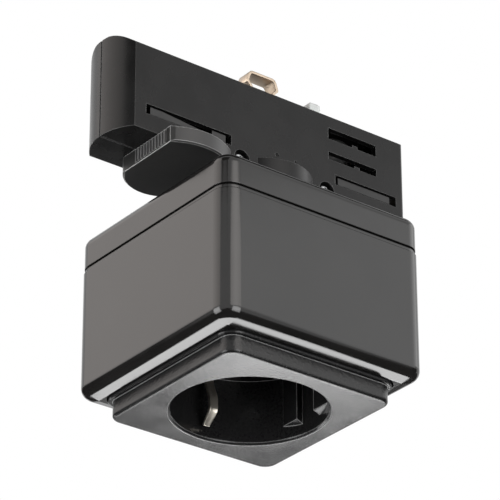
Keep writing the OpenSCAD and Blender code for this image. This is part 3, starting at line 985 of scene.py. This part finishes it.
def stage_sheet(name: str, width: float, depth: float, middle: Vector,
                material: bpy.types.Material) -> bpy.types.Object:
    """Make a level sheet that belongs to the stage, in metres.

    Args:
        name: the sheet's name.
        width: its size along X.
        depth: its size along Y.
        middle: its middle.
        material: its finish.

    Returns:
        The sheet.
    """
    mesh = bpy.data.meshes.new(name)
    shape = bmesh.new()
    bmesh.ops.create_grid(shape, x_segments=1, y_segments=1, size=0.5)
    bmesh.ops.scale(shape, vec=Vector((width, depth, 1.0)), verts=shape.verts)
    bmesh.ops.translate(shape, vec=middle, verts=shape.verts)
    shape.to_mesh(mesh)
    shape.free()
    mesh.materials.append(material)
    sheet = bpy.data.objects.new(name, mesh)
    bpy.context.scene.collection.objects.link(sheet)
    return sheet


@dataclass(frozen=True)
class Card:
    """Dark card that shows only in reflections, where they have to stay black."""

    name: str
    bearing: Bearing
    width: float
    height: float

    def build(self, aim: Vector, material: bpy.types.Material) -> None:
        """Make the card.

        Args:
            aim: the point that it faces.
            material: its matt black finish.
        """
        card = stage_sheet(self.name, self.width, self.height, Vector(), material)
        self.bearing.place(card, aim)
        card.visible_camera = card.visible_diffuse = False
        card.visible_transmission = card.visible_shadow = False


@dataclass(frozen=True)
class Flag:
    """Level black sheet beside the box's foot that keeps the lamps below off an upright face."""

    name: str
    low: tuple[float, float]
    high: tuple[float, float]
    level: float = 2.5

    def build(self, material: bpy.types.Material) -> None:
        """Make the sheet.

        Args:
            material: its matt black finish.
        """
        low, high = Vector((*self.low, self.level)) * MM, Vector((*self.high, self.level)) * MM
        side = high - low
        flag = stage_sheet(self.name, side.x, side.y, (low + high) / 2, material)
        flag.visible_camera = flag.visible_diffuse = flag.visible_transmission = False


FLAGS: tuple[Flag, ...] = (
    Flag("flag_right", (32.5, -36.0), (85.0, 95.0)),
    Flag("flag_back", (-36.0, 32.5), (95.0, 85.0)),
)
LAMPS: tuple[Softbox, ...] = (
    Softbox("lamp_under", Bearing(52.9, -57.1, 0.237), 0.2, 0.12, 9.8),
    Softbox("lamp_plate", Bearing(42.0, -43.2, 0.224), 0.095, 0.03, 10.5),
    Softbox("lamp_left_low", Bearing(163.5, -15.0, 0.9), 0.6, 0.74, 6.0),
    Softbox("lamp_left_high", Bearing(149.0, 34.0, 1.0), 1.15, 0.7, 1.25, (1.12, 1.0, 0.93)),
    Softbox("lamp_front_low", Bearing(-86.0, -16.0, 0.95), 0.74, 0.78, 6.0),
    Softbox("lamp_front_high", Bearing(-88.0, 21.0, 0.95), 1.0, 0.3, 2.7, (1.05, 1.0, 0.97)),
    Softbox("lamp_front_right", Bearing(-46.0, 16.0, 0.95), 0.36, 0.44, 0.9),
    Softbox("lamp_right", Bearing(-20.0, 28.0, 1.0), 0.5, 0.3, 1.3),
    Softbox("lamp_lip", Bearing(104.0, -25.0, 0.8), 0.2, 0.16, 9.0),
    Softbox("lamp_back", Bearing(51.0, -24.0, 1.0), 0.6, 0.3, 0.6),
)
CARDS: tuple[Card, ...] = (
    Card("card_back_top", Bearing(48.0, 42.0, 0.8), 0.42, 0.36),
    Card("card_left_top", Bearing(208.0, 47.0, 0.8), 0.5, 0.54),
    Card("card_left_low", Bearing(112.0, -3.0, 1.2), 1.05, 0.62),
    Card("card_right_low", Bearing(-36.0, -8.0, 1.0), 0.66, 0.5),
    Card("card_far_top", Bearing(40.0, 80.0, 0.95), 1.2, 0.7),
    Card("card_below", Bearing(0.0, -90.0, 0.75), 4.0, 4.0),
)


def seen_rays(tree: Tree) -> Socket:
    """Tell the rays that show a surface, straight, mirrored or through glass, from those that light it.

    Args:
        tree: the node tree that asks.

    Returns:
        A value of one for such rays and of nought for the rest.
    """
    path = tree.nodes.new("ShaderNodeLightPath")
    seen = path.outputs["Is Camera Ray"]
    for name in ("Is Glossy Ray", "Is Transmission Ray"):
        most = tree.nodes.new("ShaderNodeMath")
        most.operation = "MAXIMUM"
        tree.links.new(seen, most.inputs[0])
        tree.links.new(path.outputs[name], most.inputs[1])
        seen = most.outputs["Value"]
    return seen


@dataclass
class Studio:
    """Pale floor, white surround, soft lamps, dark cards and flags."""

    floor_z: float = -0.9
    floor_side: float = 14.0
    floor_white: float = 0.9
    floor_grey: float = 0.8
    floor_roughness: float = 0.8
    card_grey: float = 0.01
    card_roughness: float = 0.9
    surround_light: float = 0.2
    aim_z: float = 0.045

    def build(self) -> None:
        """Make the floor, the surround, the lamps, the cards and the flags."""
        bpy.context.scene.view_settings.view_transform = "Standard"
        self._floor()
        self._surround()
        aim = Vector((0.0, 0.0, self.aim_z))
        for lamp in LAMPS:
            lamp.build(aim)
        matt = PlasticFinish("card_matt_black", (self.card_grey,) * 3, self.card_roughness).material()
        for card in CARDS:
            card.build(aim, matt)
        for flag in FLAGS:
            flag.build(matt)

    def _floor(self) -> None:
        """Lay the floor well below the camera."""
        middle = Vector((0.0, 0.0, self.floor_z))
        side = self.floor_side
        stage_sheet("studio_floor", side, side, middle, self._floor_paint())

    def _floor_paint(self) -> bpy.types.Material:
        """Paint the floor: a matt pale base, with a share of plain white for the rays that show it.

        Returns:
            The floor's material.
        """
        made = bpy.data.materials.new("floor_pale")
        tree, shader = new_tree(made)
        shader.inputs["Base Color"].default_value = (*(self.floor_grey,) * 3, 1.0)
        shader.inputs["Roughness"].default_value = self.floor_roughness
        white = tree.nodes.new("ShaderNodeEmission")
        share = tree.nodes.new("ShaderNodeMath")
        share.operation = "MULTIPLY"
        share.inputs[1].default_value = self.floor_white
        mix = tree.nodes.new("ShaderNodeMixShader")
        output = next(node for node in tree.nodes if node.type == "OUTPUT_MATERIAL")
        tree.links.new(seen_rays(tree), share.inputs[0])
        tree.links.new(share.outputs["Value"], mix.inputs["Fac"])
        tree.links.new(shader.outputs["BSDF"], mix.inputs[1])
        tree.links.new(white.outputs["Emission"], mix.inputs[2])
        tree.links.new(mix.outputs["Shader"], output.inputs["Surface"])
        return made

    def _surround(self) -> None:
        """Hang a surround that is white to the camera and in reflections, and lights the rest softly."""
        world = bpy.data.worlds.new("studio_surround")
        bpy.context.scene.world = world
        world.use_nodes = True
        tree = world.node_tree
        tree.nodes.clear()
        soft, white = (tree.nodes.new("ShaderNodeBackground") for _ in range(2))
        for node, strength in ((soft, self.surround_light), (white, 1.0)):
            node.inputs["Color"].default_value = (1.0, 1.0, 1.0, 1.0)
            node.inputs["Strength"].default_value = strength
        mix = tree.nodes.new("ShaderNodeMixShader")
        output = tree.nodes.new("ShaderNodeOutputWorld")
        tree.links.new(seen_rays(tree), mix.inputs["Fac"])
        tree.links.new(soft.outputs["Background"], mix.inputs[1])
        tree.links.new(white.outputs["Background"], mix.inputs[2])
        tree.links.new(mix.outputs["Shader"], output.inputs["Surface"])


def main() -> None:
    """Build the studio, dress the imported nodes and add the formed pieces."""
    logging.basicConfig(level=logging.INFO, format="%(name)s: %(message)s")
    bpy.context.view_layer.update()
    Camera().build()
    Studio().build()
    wardrobe = Wardrobe()
    wardrobe.dress_nodes()
    for assembly in (EarthLoop(), GuidePeg(), EarthClips(), *SCREW_SETS):
        assembly.build(wardrobe)


if __name__ == "__main__":
    main()
